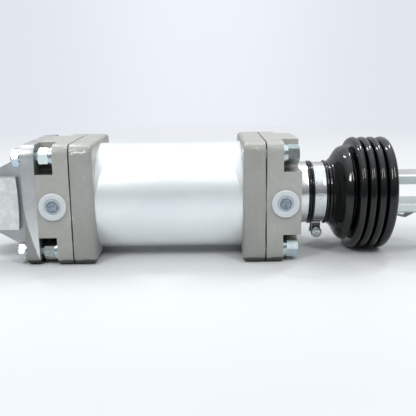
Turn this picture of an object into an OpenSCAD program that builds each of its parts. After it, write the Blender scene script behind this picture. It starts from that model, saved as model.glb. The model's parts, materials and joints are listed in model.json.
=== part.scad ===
// Pneumatic cylinder, 80 mm bore, with a rear clevis bracket, a rubber bellows over the rod and a rod fork.
// The frame: the origin is the centre of the rear pin bore, +X runs along the rod to its fork, +Z is up.
// The rod is drawn fully retracted.

/* [Cylinder] */
// Bore of the tube
bore_d = 80; // [80:1:80]
// Wall of the tube
tube_wall = 3; // [2.5:0.1:3.5]
// Length of the tube, between the two covers
tube_len = 150; // [150:1:220]
// Diameter of the piston rod
rod_d = 25; // [25:1:25]
// Length of the piston
piston_len = 28; // [26:1:32]

/* [Covers] */
// Side of the square covers and tube flanges
cover_side = 94; // [92:1:100]
// Radius of the covers' long corners
cover_corner = 8; // [4:1:10]
// Thickness of the rear cover
cover_t = 25.4; // [25.4:0.2:28]
// Thickness of the front cover
front_cover_t = 26.4; // [26:0.2:28]
// Half-width of the cross that is left between the corner pockets
pocket_wall = 24.5; // [23:0.5:25]
// Depth of the corner pockets that hold the bolt heads and nuts
pocket_depth = 13.8; // [13.6:0.1:13.8]
// Length of each cover's spigot inside the tube
spigot_len = 8; // [7:0.5:10]
// Thickness of each tube flange
flange_t = 17; // [15:1:20]
// Visible gap between a cover and its tube flange
flange_gap = 1.1; // [0.4:0.1:1.2]
// Distance of the ports from the outer face of their cover
port_inset = 12.2; // [12:0.1:12.6]
// Radius of the port bores
port_r = 8.3; // [7:0.1:8.5]

/* [Rear clevis] */
// Distance from the pin axis to the clevis plate
clevis_reach = 33.4; // [33:0.2:36]
// Thickness of the clevis plate
clevis_plate_t = 10.2; // [10:0.2:12]
// Radius of the clevis eyes
eye_r = 21; // [19:0.5:22]
// Width over the two clevis eyes
clevis_width = 67; // [66:1:70]
// Gap between the two clevis cheeks
clevis_gap = 32; // [30:1:34]
// Bore of the bronze pin bushes
rear_pin_d = 16; // [14:1:18]

/* [Fasteners] */
// Distance between the bolts, both ways
bolt_pitch = 73.8; // [73:0.2:76]
// Diameter of the studs and bolts
bolt_d = 8; // [8:1:8]
// Width across flats of the nuts and bolt heads
bolt_af = 13; // [13:1:13]
// Height of the nuts on the rear cover
nut_h = 8; // [6.8:0.1:8]
// Height of the thin nuts on the clevis plate
thin_nut_h = 5.5; // [5:0.1:6]
// Height of the bolt heads
head_h = 8.8; // [7:0.2:8.8]
// Thickness of the flat washers
flat_washer_t = 1.6; // [1.4:0.1:1.6]
// Thickness of the spring washers
spring_washer_t = 2; // [1.6:0.1:2]

/* [Boss and bellows] */
// Radius of the front boss
boss_r = 25.5; // [24:0.5:27]
// Radius of the neck that the bellows' cuff grips
neck_r = 22; // [22:0.5:22]
// Outer radius of the bellows' folds
fold_r = 46; // [43:0.5:46]
// Outer radius at the bottom of the valleys between folds
valley_r = 30; // [29:0.5:33]
// Number of full folds
folds = 4; // [4:1:4]
// Distance between folds, with the rod retracted
fold_pitch = 7.4; // [7.2:0.1:7.6]
// Wall of the bellows
bellows_wall = 2; // [1.8:0.1:2]
// Width of the clamp band
band_w = 9; // [8:0.5:9]

/* [Rod end] */
// Side of the rod fork's square head
fork_side = 31.5; // [31:0.5:32]
// Chamfer along the fork's four long edges
fork_chamfer = 1.4; // [1:0.2:2]
// Length of the fork
fork_len = 115; // [114:1:117]
// Distance from the fork's thread end to its pin axis
fork_reach = 96; // [95:1:97]
// Width of the fork's slot
fork_slot = 16.2; // [16:0.1:16.4]
// Diameter of the fork's pin
fork_pin_d = 16; // [16:1:16]
// Diameter of the rod's thread
rod_thread_d = 16; // [16:1:16]

/* [Hidden] */
$fn = 72;

fit = 0.02;       // radial gap of two parts that are pressed or screwed together
run = 0.03;       // radial clearance of a running fit
eps = 1;          // overshoot of a cutting tool

// Stations along the cylinder.
clevis_face_x = clevis_reach;
rear_face_x = clevis_face_x + clevis_plate_t;
tube_x0 = rear_face_x + cover_t;
tube_x1 = tube_x0 + tube_len;
front_face_x = tube_x1 + front_cover_t;
rear_seat_x = rear_face_x + pocket_depth;
front_seat_x = front_face_x - pocket_depth;
rear_port_x = rear_face_x + port_inset;
front_port_x = front_face_x - port_inset;
mid_x = (tube_x0 + tube_x1) / 2;

tube_r = bore_d / 2;
tube_outer_r = tube_r + tube_wall;
half_side = cover_side / 2;
rod_r = rod_d / 2;
bolt_r = bolt_d / 2;
hole_r = bolt_r + 0.5;

// Wire rings that hold the flanges on the tube.
wire_r = 1.45;
wire_groove_depth = 1.25;
wire_inset = 2.6;

// Piston and what sits on it.
bumper_t = 3;
piston_x0 = tube_x0 + spigot_len + bumper_t;
piston_x1 = piston_x0 + piston_len;
piston_r = tube_r - 0.3;
piston_hub_r = 10;
piston_nut_h = 10;
piston_nut_af = 30;
piston_tail = 2;

// Gland: a turned aluminium boss that screws into the front cover.
gland_depth = 10.4;
gland_r = 21;
boss_len = 10;
neck_len = 14.6;
boss_x1 = front_face_x + boss_len;
neck_x1 = boss_x1 + neck_len;
gland_x0 = front_face_x - gland_depth;

// Bellows, cuff and clamp band.
cuff_r = 24.2;
rim_r = 26.2;
cuff_x0 = boss_x1 + 0.4;
rim_x1 = cuff_x0 + 3.6;
band_x0 = rim_x1 + 0.4;
band_x1 = band_x0 + band_w;
band_t = 0.8;
first_fold_x = band_x1 + 24;
fold_half = 2.8;
last_fold_half = 3.7;
last_fold_x = first_fold_x + (folds - 1) * fold_pitch + 0.8;

// Rod end.
end_plate_t = 2.6;
end_plate_r = 41;
end_plate_x = last_fold_x - end_plate_t / 2;
end_ring_t = 1.6;
end_ring_r = 13;
lock_nut_t = 8;
fork_head_x = end_plate_x + end_plate_t;
fork_x0 = fork_head_x - 25.5;
fork_x1 = fork_x0 + fork_len;
fork_pin_x = fork_x0 + fork_reach;
fork_slot_x = fork_pin_x - 64;
rod_x1 = fork_x0 - lock_nut_t;
thread_len = 32;

// --- Shared shapes ---------------------------------------------------------------------------------

// Turns a profile of [radius, x] points about the X axis.
module turned(points) {
    rotate([0, 90, 0]) rotate_extrude() polygon(points);
}

// A cylinder along X from x0 to x1.
module x_cylinder(x0, x1, r) {
    translate([x0, 0, 0]) rotate([0, 90, 0]) cylinder(h = x1 - x0, r = r);
}

// A sleeve along X from x0 to x1.
module x_sleeve(x0, x1, outer, inner) {
    turned([[inner, x0], [outer, x0], [outer, x1], [inner, x1]]);
}

// A bar along X with a chamfer c at both ends.
module x_bar(x0, x1, r, c) {
    turned([[0, x0], [r - c, x0], [r, x0 + c], [r, x1 - c], [r - c, x1], [0, x1]]);
}

// A ring of round section about the X axis.
module x_torus(x, radius, section) {
    translate([x, 0, 0]) rotate([0, 90, 0]) rotate_extrude()
        translate([radius, 0]) circle(r = section, $fn = 32);
}

// Puts its child on bolt axis i: 0 and 1 are on the port side, 0 and 2 are the upper ones.
module at_bolt(i) {
    translate([0, (i < 2 ? -1 : 1) * bolt_pitch / 2, (i % 2 == 0 ? 1 : -1) * bolt_pitch / 2]) children();
}

// Puts its child on all four bolt axes.
module at_bolts() {
    for (i = [0 : 3]) at_bolt(i) children();
}

// A square with round corners.
module rounded_square(side, r) {
    square([side, side - 2 * r], center = true);
    square([side - 2 * r, side], center = true);
    for (a = [-1, 1], b = [-1, 1])
        translate([a * (side / 2 - r), b * (side / 2 - r)]) circle(r = r);
}

// A square block along X with round long corners.
module block(x0, x1, side, r) {
    translate([x0, 0, 0]) rotate([90, 0, 90]) linear_extrude(x1 - x0) rounded_square(side, r);
}

// A hexagon nut or head along X, with 30 degree chamfers at its x1 end and, with both set, at x0 too.
module hexagon(x0, x1, af, turn = 0, both = true) {
    corner_r = af / sqrt(3);
    face_r = af / 2 - 0.15;
    cone_r = corner_r + 0.6;
    cone_h = (cone_r - face_r) * tan(30);
    intersection() {
        translate([x0, 0, 0]) rotate([turn, 0, 0]) rotate([0, 90, 0])
            cylinder(h = x1 - x0, r = corner_r, $fn = 6);
        turned([[0, x0], [both ? face_r : cone_r, x0], [cone_r, x0 + (both ? cone_h : 0.1)],
                [cone_r, x1 - cone_h], [face_r, x1], [0, x1]]);
    }
}

// A hexagon nut with its thread bore.
module nut(x0, x1, af, bore_r, turn = 0) {
    difference() {
        hexagon(x0, x1, af, turn);
        x_cylinder(x0 - eps, x1 + eps, bore_r);
    }
}

// A spring washer, split on one side.
module spring_washer(x0, turn) {
    outer = 7.1;
    slit = 1.2;
    difference() {
        x_sleeve(x0, x0 + spring_washer_t, outer, bolt_r + 0.2);
        rotate([turn, 0, 0]) translate([x0 - eps, 0, -slit / 2])
            cube([spring_washer_t + 2 * eps, outer + eps, slit]);
    }
}

// --- Rear clevis -----------------------------------------------------------------------------------

// Point where a line from [x, z] touches a circle of radius r round the pin, on the upper side.
function tangent(x, z, r) = let (a = atan2(z, x) + acos(r / norm([x, z]))) [r * cos(a), r * sin(a)];

// Side outline of the cast web: from the plate down to the eye, a little fuller above than below.
module web_outline() {
    web_z = 39;
    upper = tangent(clevis_face_x, web_z, 19.5);
    lower = tangent(clevis_face_x, web_z, 17);
    polygon([[clevis_face_x + 0.5, web_z], [clevis_face_x, web_z], upper, [0, 0], [lower.x, -lower.y],
             [clevis_face_x, -web_z], [clevis_face_x + 0.5, -web_z]]);
    circle(r = eye_r);
}

// Side outline of the raised boss: the eye and a machined pad whose far edge is slightly bowed.
module boss_outline() {
    bow_r = 260;
    pad_end = 26;
    circle(r = eye_r);
    intersection() {
        translate([0, -eye_r]) square([pad_end, 2 * eye_r]);
        translate([pad_end - bow_r, 0]) circle(r = bow_r, $fn = 360);
    }
}

// Extrudes a side outline from y0 to y1.
module side_plate(y0, y1) {
    translate([0, y1, 0]) rotate([90, 0, 0]) linear_extrude(y1 - y0) children();
}

module rear_clevis() {
    web_y = 28.5;
    bush_seat_r = rear_pin_d / 2 + 2;
    color([0.66, 0.68, 0.68]) difference() {
        union() {
            block(clevis_face_x, rear_face_x, cover_side, 10);
            for (s = [0, 1]) mirror([0, s, 0]) {
                side_plate(clevis_gap / 2, web_y) web_outline();
                side_plate(clevis_gap / 2, clevis_width / 2) boss_outline();
            }
        }
        translate([0, clevis_width, 0]) rotate([90, 0, 0]) cylinder(h = 2 * clevis_width, r = bush_seat_r);
        at_bolts() x_cylinder(clevis_face_x - eps, rear_face_x + eps, hole_r);
    }
}

module rear_pin_bushes() {
    bush_outer_r = rear_pin_d / 2 + 2 - fit;
    color([0.62, 0.45, 0.30]) for (s = [0, 1]) mirror([0, s, 0])
        translate([0, clevis_width / 2, 0]) rotate([90, 0, 0]) difference() {
            cylinder(h = (clevis_width - clevis_gap) / 2, r = bush_outer_r);
            translate([0, 0, -eps]) cylinder(h = clevis_width, r = rear_pin_d / 2);
        }
}

// --- Covers and tube flanges -----------------------------------------------------------------------

// The four corner pockets, open at the outer face and at both sides.
module pockets(x0, x1) {
    corner = 3;
    reach = 30;
    for (a = [0 : 90 : 270]) rotate([a, 0, 0])
        translate([x0, pocket_wall + reach / 2, pocket_wall + reach / 2]) rotate([90, 0, 90])
            linear_extrude(x1 - x0) rounded_square(reach, corner);
}

// A port bore from the front side to depth_y.
module port_bore(x, depth_y) {
    translate([x, -depth_y, 0]) rotate([90, 0, 0]) cylinder(h = half_side - depth_y + eps, r = port_r);
}

// O-ring groove in a spigot, centred at x.
module spigot_groove(x) {
    groove_w = 2.8;
    x_sleeve(x - groove_w / 2, x + groove_w / 2, tube_r + eps, tube_r - 2.6);
}

module rear_cover() {
    chamber_r = 18.5;
    color([0.62, 0.61, 0.58]) difference() {
        union() {
            block(rear_face_x, tube_x0, cover_side, cover_corner);
            x_cylinder(tube_x0 - eps, tube_x0 + spigot_len, tube_r - 0.1);
        }
        pockets(rear_face_x - eps, rear_seat_x);
        at_bolts() x_cylinder(rear_face_x, tube_x0 + eps, hole_r);
        x_cylinder(rear_face_x + 6.4, tube_x0 + spigot_len + eps, chamber_r);
        port_bore(rear_port_x, 8);
        spigot_groove(tube_x0 + spigot_len / 2);
    }
}

module front_cover() {
    color([0.62, 0.61, 0.58]) difference() {
        union() {
            block(tube_x1, front_face_x, cover_side, cover_corner);
            x_cylinder(tube_x1 - spigot_len, tube_x1 + eps, tube_r - 0.1);
        }
        pockets(front_seat_x, front_face_x + eps);
        at_bolts() x_cylinder(tube_x1 - eps, front_face_x, hole_r);
        x_cylinder(tube_x1 - spigot_len - eps, front_face_x + eps, gland_r + fit);
        port_bore(front_port_x, 8);
        spigot_groove(tube_x1 - spigot_len / 2);
    }
}

// A rectangle from x0 to x1 whose two corners at x1 are round.
module round_nosed(x0, x1, half_width, r) {
    translate([x0, -half_width]) square([x1 - x0 - r, 2 * half_width]);
    translate([x0, r - half_width]) square([x1 - x0, 2 * (half_width - r)]);
    for (s = [-1, 1]) translate([x1 - r, s * (half_width - r)]) circle(r = r);
}

// The rear tube flange: round edges towards the tube, a seat for the wire ring, and four tapped holes.
module tube_flange() {
    edge_r = 4.5;
    x0 = tube_x0 + flange_gap;
    x1 = x0 + flange_t;
    thread_depth = 13.4;
    color([0.62, 0.61, 0.58]) difference() {
        intersection() {
            block(x0, x1, cover_side, cover_corner);
            translate([0, 0, -half_side]) linear_extrude(cover_side)
                round_nosed(x0, x1, half_side, edge_r);
            rotate([90, 0, 0]) translate([0, 0, -half_side]) linear_extrude(cover_side)
                round_nosed(x0, x1, half_side, edge_r);
        }
        x_cylinder(x0 - eps, x1 + eps, tube_outer_r + fit);
        x_cylinder(x0 - eps, tube_x0 + wire_inset + wire_r + 0.1, tube_outer_r + 1.9);
        at_bolts() x_cylinder(x0 - eps, x0 + thread_depth, bolt_r + fit);
    }
}

// Mirrors a rear part to the front end of the tube.
module to_front() {
    translate([2 * mid_x, 0, 0]) mirror([1, 0, 0]) children();
}

module rear_tube_flange() {
    tube_flange();
}

module front_tube_flange() {
    to_front() tube_flange();
}

module cylinder_tube() {
    color([0.80, 0.84, 0.86]) difference() {
        x_sleeve(tube_x0, tube_x1, tube_outer_r, tube_r);
        for (x = [tube_x0 + wire_inset, tube_x1 - wire_inset])
            x_sleeve(x - wire_r - 0.1, x + wire_r + 0.1, tube_outer_r + eps,
                     tube_outer_r - wire_groove_depth);
    }
}

module wire_ring() {
    color([0.70, 0.70, 0.72])
        x_torus(tube_x0 + wire_inset, tube_outer_r - wire_groove_depth + wire_r + fit, wire_r);
}

module rear_wire_ring() {
    wire_ring();
}

module front_wire_ring() {
    to_front() wire_ring();
}

module tube_o_ring() {
    section = 1.2;
    color([0.08, 0.08, 0.08]) x_torus(tube_x0 + spigot_len / 2, tube_r - section - 0.05, section);
}

module rear_tube_o_ring() {
    tube_o_ring();
}

module front_tube_o_ring() {
    to_front() tube_o_ring();
}

module rear_bumper() {
    color([0.12, 0.12, 0.12]) x_sleeve(piston_x0 - bumper_t, piston_x0, 34, 20);
}

module front_bumper() {
    color([0.12, 0.12, 0.12]) to_front() x_sleeve(piston_x0 - bumper_t, piston_x0, 34, 23);
}

// --- Gland -----------------------------------------------------------------------------------------

bush_x1 = gland_x0 + 17;
seal_x0 = bush_x1 + 1.5;
seal_x1 = seal_x0 + 6.5;
wiper_x0 = neck_x1 - 7;
gland_o_ring_x = gland_x0 + 4;

module gland_housing() {
    land_r = 13.2;
    bush_seat_r = 15;
    seal_seat_r = 18;
    wiper_seat_r = 17.5;
    c = 0.8;
    groove_half = 1.3;
    color([0.74, 0.75, 0.75]) difference() {
        turned([[bush_seat_r, gland_x0], [gland_r - c, gland_x0], [gland_r, gland_x0 + c],
                [gland_r, front_face_x], [boss_r, front_face_x], [boss_r, boss_x1 - c],
                [boss_r - c, boss_x1], [neck_r, boss_x1], [neck_r, neck_x1 - c], [neck_r - c, neck_x1], [wiper_seat_r, neck_x1],
                [wiper_seat_r, wiper_x0], [land_r, wiper_x0], [land_r, seal_x1], [seal_seat_r, seal_x1],
                [seal_seat_r, seal_x0], [land_r, seal_x0], [land_r, bush_x1], [bush_seat_r, bush_x1]]);
        x_sleeve(gland_o_ring_x - groove_half, gland_o_ring_x + groove_half, gland_r + eps,
                 gland_r - 2.4);
    }
}

module gland_o_ring() {
    section = 1.1;
    color([0.08, 0.08, 0.08]) x_torus(gland_o_ring_x, gland_r - section - 0.05, section);
}

module rod_bush() {
    color([0.62, 0.45, 0.30]) x_sleeve(gland_x0 + 1, bush_x1 - fit, 15 - fit, rod_r + run);
}

// A lip seal: the V between its lips opens towards the pressure side.
module rod_seal() {
    outer = 18 - fit;
    inner = rod_r + run;
    mid = (outer + inner) / 2;
    x0 = seal_x0 + 0.1;
    x1 = seal_x1 - 0.1;
    color([0.10, 0.10, 0.12]) turned([[inner, x0], [inner + 1.2, x0], [mid, x0 + 3], [outer - 1.2, x0],
                                      [outer, x0], [outer, x1], [inner, x1]]);
}

module rod_wiper() {
    outer = 17.5 - fit;
    inner = rod_r + run;
    x0 = wiper_x0 + 0.1;
    lip_x = neck_x1 - 2;
    color([0.10, 0.10, 0.12]) turned([[inner + 1.5, x0], [outer, x0], [outer, lip_x], [inner + 1.5, lip_x],
                                      [inner + 0.6, neck_x1], [inner, neck_x1], [inner, lip_x - 0.5]]);
}

// --- Fasteners -------------------------------------------------------------------------------------

stud_x0 = clevis_face_x - spring_washer_t - thin_nut_h - 1.6;
stud_x1 = tube_x0 + flange_gap + 12.6;

// Four hexagon nuts from x0 to x1, one on each bolt axis, each turned by its own angle.
module four_nuts(x0, x1, turns) {
    for (i = [0 : 3]) at_bolt(i) nut(x0, x1, bolt_af, bolt_r + fit, turns[i]);
}

module rear_studs() {
    color([0.80, 0.82, 0.84]) at_bolts() x_bar(stud_x0, stud_x1, bolt_r, 0.8);
}

module rear_cover_nuts() {
    x1 = rear_seat_x - flat_washer_t - spring_washer_t;
    color([0.82, 0.84, 0.82]) four_nuts(x1 - nut_h, x1, [8, 50, 4, 22]);
}

module flat_washers(x0) {
    color([0.84, 0.86, 0.86]) at_bolts() x_sleeve(x0, x0 + flat_washer_t, 8, bolt_r + 0.3);
}

module rear_flat_washers() {
    flat_washers(rear_seat_x - flat_washer_t);
}

module rear_spring_washers() {
    color([0.78, 0.80, 0.80]) at_bolts() spring_washer(rear_seat_x - flat_washer_t - spring_washer_t, 25);
}

module clevis_nuts() {
    x1 = clevis_face_x - spring_washer_t;
    color([0.82, 0.84, 0.82]) four_nuts(x1 - thin_nut_h, x1, [30, 32, 12, 3]);
}

module clevis_spring_washers() {
    color([0.78, 0.80, 0.80]) at_bolts() spring_washer(clevis_face_x - spring_washer_t, 200);
}

module front_bolts() {
    head_x0 = front_seat_x + flat_washer_t + spring_washer_t;
    tip_x = tube_x1 - flange_gap - 12.6;
    c = 0.8;
    turns = [50, 28, 9, 27];
    color([0.82, 0.84, 0.82]) for (i = [0 : 3]) at_bolt(i) {
        hexagon(head_x0, head_x0 + head_h, bolt_af, turns[i], false);
        turned([[0, tip_x], [bolt_r - c, tip_x], [bolt_r, tip_x + c], [bolt_r, head_x0 + eps],
                [0, head_x0 + eps]]);
    }
}

module front_flat_washers() {
    flat_washers(front_seat_x);
}

module front_spring_washers() {
    color([0.78, 0.80, 0.80]) at_bolts() spring_washer(front_seat_x + flat_washer_t, 160);
}

// --- Port plugs ------------------------------------------------------------------------------------

// A push-in plug for a port: a flanged cap with a shallow dish, and a hollow stem.
module port_plug(x) {
    cap_r = 10.6;
    cap_t = 2;
    dish_r = 6;
    stem_r = port_r - 0.1;
    stem_len = 9;
    wall = 1.2;
    color([0.88, 0.91, 0.92]) translate([x, -half_side, 0]) rotate([90, 0, 0]) rotate_extrude()
        polygon([[0, -0.6], [stem_r - wall, -0.6], [stem_r - wall, -stem_len], [stem_r, -stem_len],
                 [stem_r, 0], [cap_r, 0], [cap_r, cap_t - 0.7], [cap_r - 0.7, cap_t], [dish_r + 0.8, cap_t],
                 [dish_r, cap_t - 0.8], [0, cap_t - 0.8]]);
}

module rear_port_plug() {
    port_plug(rear_port_x);
}

module front_port_plug() {
    port_plug(front_port_x);
}

// --- Bellows and its clamp -------------------------------------------------------------------------

function fold_x(i) = i < folds - 1 ? first_fold_x + i * fold_pitch : last_fold_x;
function fold_w(i) = i < folds - 1 ? fold_half : last_fold_half;

// Outer contour of fold i: a round crest between two valleys.
function crest(i) = [for (a = [-90 : 22.5 : 90])
    [fold_r - fold_w(i) + fold_w(i) * cos(a), fold_x(i) + fold_w(i) * sin(a)]];
function outer_fold(i) =
    concat([[valley_r, fold_x(i) - fold_w(i)]], crest(i), [[valley_r, fold_x(i) + fold_w(i)]]);

// Inner contour of fold i: a slot inside the crest.
function inner_fold(i) = let (s = fold_w(i) - bellows_wall, x = fold_x(i), r0 = valley_r - bellows_wall)
    [[r0, x + s], [fold_r - bellows_wall, x + s], [fold_r - bellows_wall, x - s], [r0, x - s]];

module bellows() {
    w = bellows_wall;
    shoulder_x = first_fold_x - 8.5;
    shoulder_r = 39;
    c = 0.6;
    cuff = [[neck_r + fit, cuff_x0], [rim_r - c, cuff_x0], [rim_r, cuff_x0 + c], [rim_r, rim_x1 - c],
            [rim_r - c, rim_x1], [cuff_r, rim_x1], [cuff_r, band_x1 + 0.2]];
    shoulder = [[rim_r, band_x1 + 1.2], [rim_r, band_x1 + 3.6], [28.4, band_x1 + 7.2],
                [32.4, band_x1 + 9.6], [36.4, band_x1 + 12.8], [shoulder_r, shoulder_x], [shoulder_r, shoulder_x + 1.8],
                [valley_r, shoulder_x + 2.4]];
    inside = [[valley_r - w, shoulder_x + 1], [shoulder_r - w - 0.6, shoulder_x + 0.4],
              [36.4 - w, band_x1 + 13.8], [32.4 - w, band_x1 + 11], [28.4 - w, band_x1 + 8.6],
              [rim_r - w, band_x1 + 4.2], [neck_r + fit, band_x1 + 1.8]];
    outer = [for (i = [0 : folds - 1], p = outer_fold(i)) p];
    inner = [for (i = [folds - 1 : -1 : 0], p = inner_fold(i)) p];
    end = [[valley_r - w, last_fold_x + last_fold_half]];
    color([0.05, 0.05, 0.055]) turned(concat(cuff, shoulder, outer, end, inner, inside));
}

// Clamp band: a thin ring, open at the bottom between two ears.
ear_gap = 6;
ear_t = 1.6;
ear_w = 7;
screw_z = -33;
screw_r = 2.4;
clamp_x = (band_x0 + band_x1) / 2;

module clamp_band() {
    color([0.80, 0.83, 0.85]) difference() {
        union() {
            difference() {
                x_sleeve(band_x0, band_x1, cuff_r + fit + band_t, cuff_r + fit);
                translate([band_x0 - eps, -ear_gap / 2, -cuff_r * 1.2])
                    cube([band_w + 2 * eps, ear_gap, cuff_r]);
            }
            for (s = [0, 1]) mirror([0, s, 0]) {
                translate([clamp_x - ear_w / 2, ear_gap / 2, screw_z])
                    cube([ear_w, ear_t, -screw_z - cuff_r + 0.1]);
                translate([clamp_x, ear_gap / 2 + ear_t, screw_z]) rotate([90, 0, 0])
                    cylinder(h = ear_t, r = ear_w / 2);
            }
        }
        translate([clamp_x, 20, screw_z]) rotate([90, 0, 0]) cylinder(h = 40, r = screw_r + 0.1);
    }
}

// Pan-head screw across the ears, its head towards -Y, with a cross recess.
module clamp_screw() {
    head_r = 4.8;
    screw_head = 3.2;
    y_head = -(ear_gap / 2 + ear_t);
    recess = [1.1, 5.2];
    color([0.82, 0.84, 0.84]) difference() {
        translate([clamp_x, y_head, screw_z]) rotate([90, 0, 0]) rotate_extrude()
            polygon([[0, -18], [screw_r - 0.5, -18], [screw_r, -17.5], [screw_r, 0], [head_r, 0],
                     [head_r, 1.4], [head_r - 0.8, 2.5], [head_r - 2.2, screw_head], [0, screw_head]]);
        for (a = [0, 90]) translate([clamp_x, y_head - screw_head, screw_z]) rotate([0, a, 0])
            cube([recess.x, 3.4, recess.y], center = true);
    }
}

module clamp_nut() {
    y0 = ear_gap / 2 + ear_t;
    color([0.80, 0.82, 0.82]) translate([clamp_x, 0, screw_z]) rotate([0, 0, 90])
        nut(y0, y0 + 4, 8, screw_r + fit, 10);
}

// --- Piston and rod --------------------------------------------------------------------------------

module piston_rod() {
    c = 1;
    tail_x = piston_x0 - piston_nut_h - piston_tail;
    thread_r = rod_thread_d / 2;
    tip_x = rod_x1 + thread_len;
    color([0.80, 0.81, 0.82])
        turned([[0, tail_x], [piston_hub_r - c, tail_x], [piston_hub_r, tail_x + c],
                [piston_hub_r, piston_x1], [rod_r, piston_x1], [rod_r, rod_x1 - c], [rod_r - c, rod_x1],
                [thread_r, rod_x1], [thread_r, tip_x - c], [thread_r - c, tip_x], [0, tip_x]]);
}

seal_groove_w = 4;
seal_offset = 8;
wear_groove_w = 6;
seal_groove_r = 34;
wear_groove_r = 37.5;
wear_x = piston_x0 + piston_len / 2;

module piston() {
    o_ring_groove_r = 11.9;
    color([0.72, 0.73, 0.74]) difference() {
        x_bar(piston_x0, piston_x1, piston_r, 1);
        x_cylinder(piston_x0 - eps, piston_x1 + eps, piston_hub_r + fit);
        for (s = [-1, 1]) translate([wear_x + s * seal_offset, 0, 0])
            x_sleeve(-seal_groove_w / 2, seal_groove_w / 2, tube_r + eps, seal_groove_r);
        x_sleeve(wear_x - wear_groove_w / 2, wear_x + wear_groove_w / 2, tube_r + eps, wear_groove_r);
        x_sleeve(wear_x - 1.3, wear_x + 1.3, o_ring_groove_r, piston_hub_r - eps);
    }
}

module piston_seals() {
    outer = tube_r - run;
    inner = seal_groove_r + fit;
    half = seal_groove_w / 2 - 0.1;
    lip = 0.9;
    color([0.10, 0.10, 0.12]) for (s = [-1, 1]) translate([wear_x + s * seal_offset, 0, 0])
        turned([[inner, -half], [outer - 1.5, -half], [outer - 1.5, -lip], [outer, -lip], [outer, lip],
                [outer - 1.5, lip], [outer - 1.5, half], [inner, half]]);
}

module piston_wear_ring() {
    half = wear_groove_w / 2 - 0.1;
    color([0.25, 0.35, 0.30]) x_sleeve(wear_x - half, wear_x + half, tube_r - 0.05, wear_groove_r + fit);
}

module piston_o_ring() {
    section = 0.9;
    color([0.08, 0.08, 0.08]) x_torus(wear_x, piston_hub_r + section + 0.04, section);
}

module piston_nut() {
    color([0.60, 0.60, 0.62])
        nut(piston_x0 - piston_nut_h, piston_x0, piston_nut_af, piston_hub_r + fit);
}

// --- Rod end ---------------------------------------------------------------------------------------

fork_shank_r = 14;

module bellows_end_plate() {
    color([0.75, 0.77, 0.78]) x_sleeve(end_plate_x, fork_head_x, end_plate_r, fork_shank_r + fit);
}

// Snap ring in the fork's shank that holds the end plate against the fork's head.
module end_plate_ring() {
    color([0.30, 0.31, 0.33])
        x_sleeve(end_plate_x - end_ring_t, end_plate_x, fork_shank_r + 2.2, end_ring_r + fit);
}

module rod_lock_nut() {
    color([0.80, 0.82, 0.82]) nut(rod_x1, fork_x0, 24, rod_thread_d / 2 + fit, 7);
}

// Cross section of the fork's head: a square with chamfered corners.
module fork_section() {
    h = fork_side / 2;
    k = h - fork_chamfer;
    polygon([[h, k], [k, h], [-k, h], [-h, k], [-h, -k], [-k, -h], [k, -h], [h, -k]]);
}

module rod_fork() {
    slot_r = fork_slot / 2;
    nose_r = fork_x1 - fork_pin_x;
    nose_offset = 3;
    cone_r = fork_side / sqrt(2) + 1;
    color([0.82, 0.84, 0.83]) difference() {
        union() {
            x_bar(fork_x0, fork_head_x + eps, fork_shank_r, 1);
            intersection() {
                translate([fork_head_x, 0, 0]) rotate([90, 0, 90])
                    linear_extrude(fork_x1 - fork_head_x) fork_section();
                union() {
                    translate([fork_head_x - eps, -fork_side, -fork_side])
                        cube([fork_pin_x - nose_offset - fork_head_x + eps, 2 * fork_side, 2 * fork_side]);
                    translate([fork_pin_x - nose_offset, 0, -fork_side])
                        cylinder(h = 2 * fork_side, r = nose_r + nose_offset);
                }
                turned([[0, fork_head_x], [fork_side / 2 - 1, fork_head_x], [cone_r, fork_head_x + 5],
                        [cone_r, fork_x1], [0, fork_x1]]);
            }
        }
        translate([fork_slot_x, -fork_side, -slot_r]) cube([fork_len, 2 * fork_side, fork_slot]);
        translate([fork_pin_x, 0, -fork_side]) cylinder(h = 2 * fork_side, r = fork_pin_d / 2 + run);
        x_cylinder(fork_x0 - eps, fork_slot_x + eps, rod_thread_d / 2 + fit);
        x_sleeve(end_plate_x - end_ring_t, end_plate_x, fork_shank_r + eps, end_ring_r);
    }
}

clip_t = 1;
clip_top_z = -(fork_side / 2 + 0.35);
rivet_r = 4;

// The pin runs through the fork from top to bottom; its lower stub is riveted to the clip.
module fork_pin() {
    pin_r = fork_pin_d / 2;
    top_z = fork_side / 2 + 2.4;
    head_z = clip_top_z - clip_t;
    color([0.80, 0.82, 0.83]) translate([fork_pin_x, 0, 0]) rotate_extrude()
        polygon([[0, head_z - 1.6], [rivet_r + 1, head_z - 1.6], [rivet_r + 2.2, head_z - 0.6],
                 [rivet_r + 2.2, head_z], [rivet_r, head_z], [rivet_r, clip_top_z], [pin_r, clip_top_z],
                 [pin_r, top_z - 1.2], [pin_r - 1.2, top_z], [0, top_z]]);
}

// Spring clip: a strip under the fork that ends in a narrow lip bent down and back up.
module pin_clip() {
    strip_w = 13;
    lip_w = 8;
    bend_x = fork_pin_x - 40;
    lip_x = fork_pin_x - 48.5;
    tip_x = fork_pin_x - 55;
    top = clip_top_z;
    lip_z = top - 6;
    tip_z = top - 4.6;
    color([0.16, 0.17, 0.18]) difference() {
        union() {
            translate([bend_x + 1, -strip_w / 2, top - clip_t]) cube([fork_pin_x - bend_x - 1, strip_w, clip_t]);
            translate([0, lip_w / 2, 0]) rotate([90, 0, 0]) linear_extrude(lip_w)
                polygon([[bend_x + 3, top], [bend_x, top], [lip_x, lip_z + clip_t],
                         [tip_x, tip_z + clip_t], [tip_x, tip_z], [lip_x, lip_z],
                         [bend_x + 0.5, top - clip_t], [bend_x + 3, top - clip_t]]);
            translate([fork_pin_x, 0, top - clip_t]) cylinder(h = clip_t, r = strip_w / 2);
        }
        translate([fork_pin_x, 0, top - clip_t - eps]) cylinder(h = clip_t + 2 * eps, r = rivet_r + fit);
    }
}

// --- Assembly --------------------------------------------------------------------------------------

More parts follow.
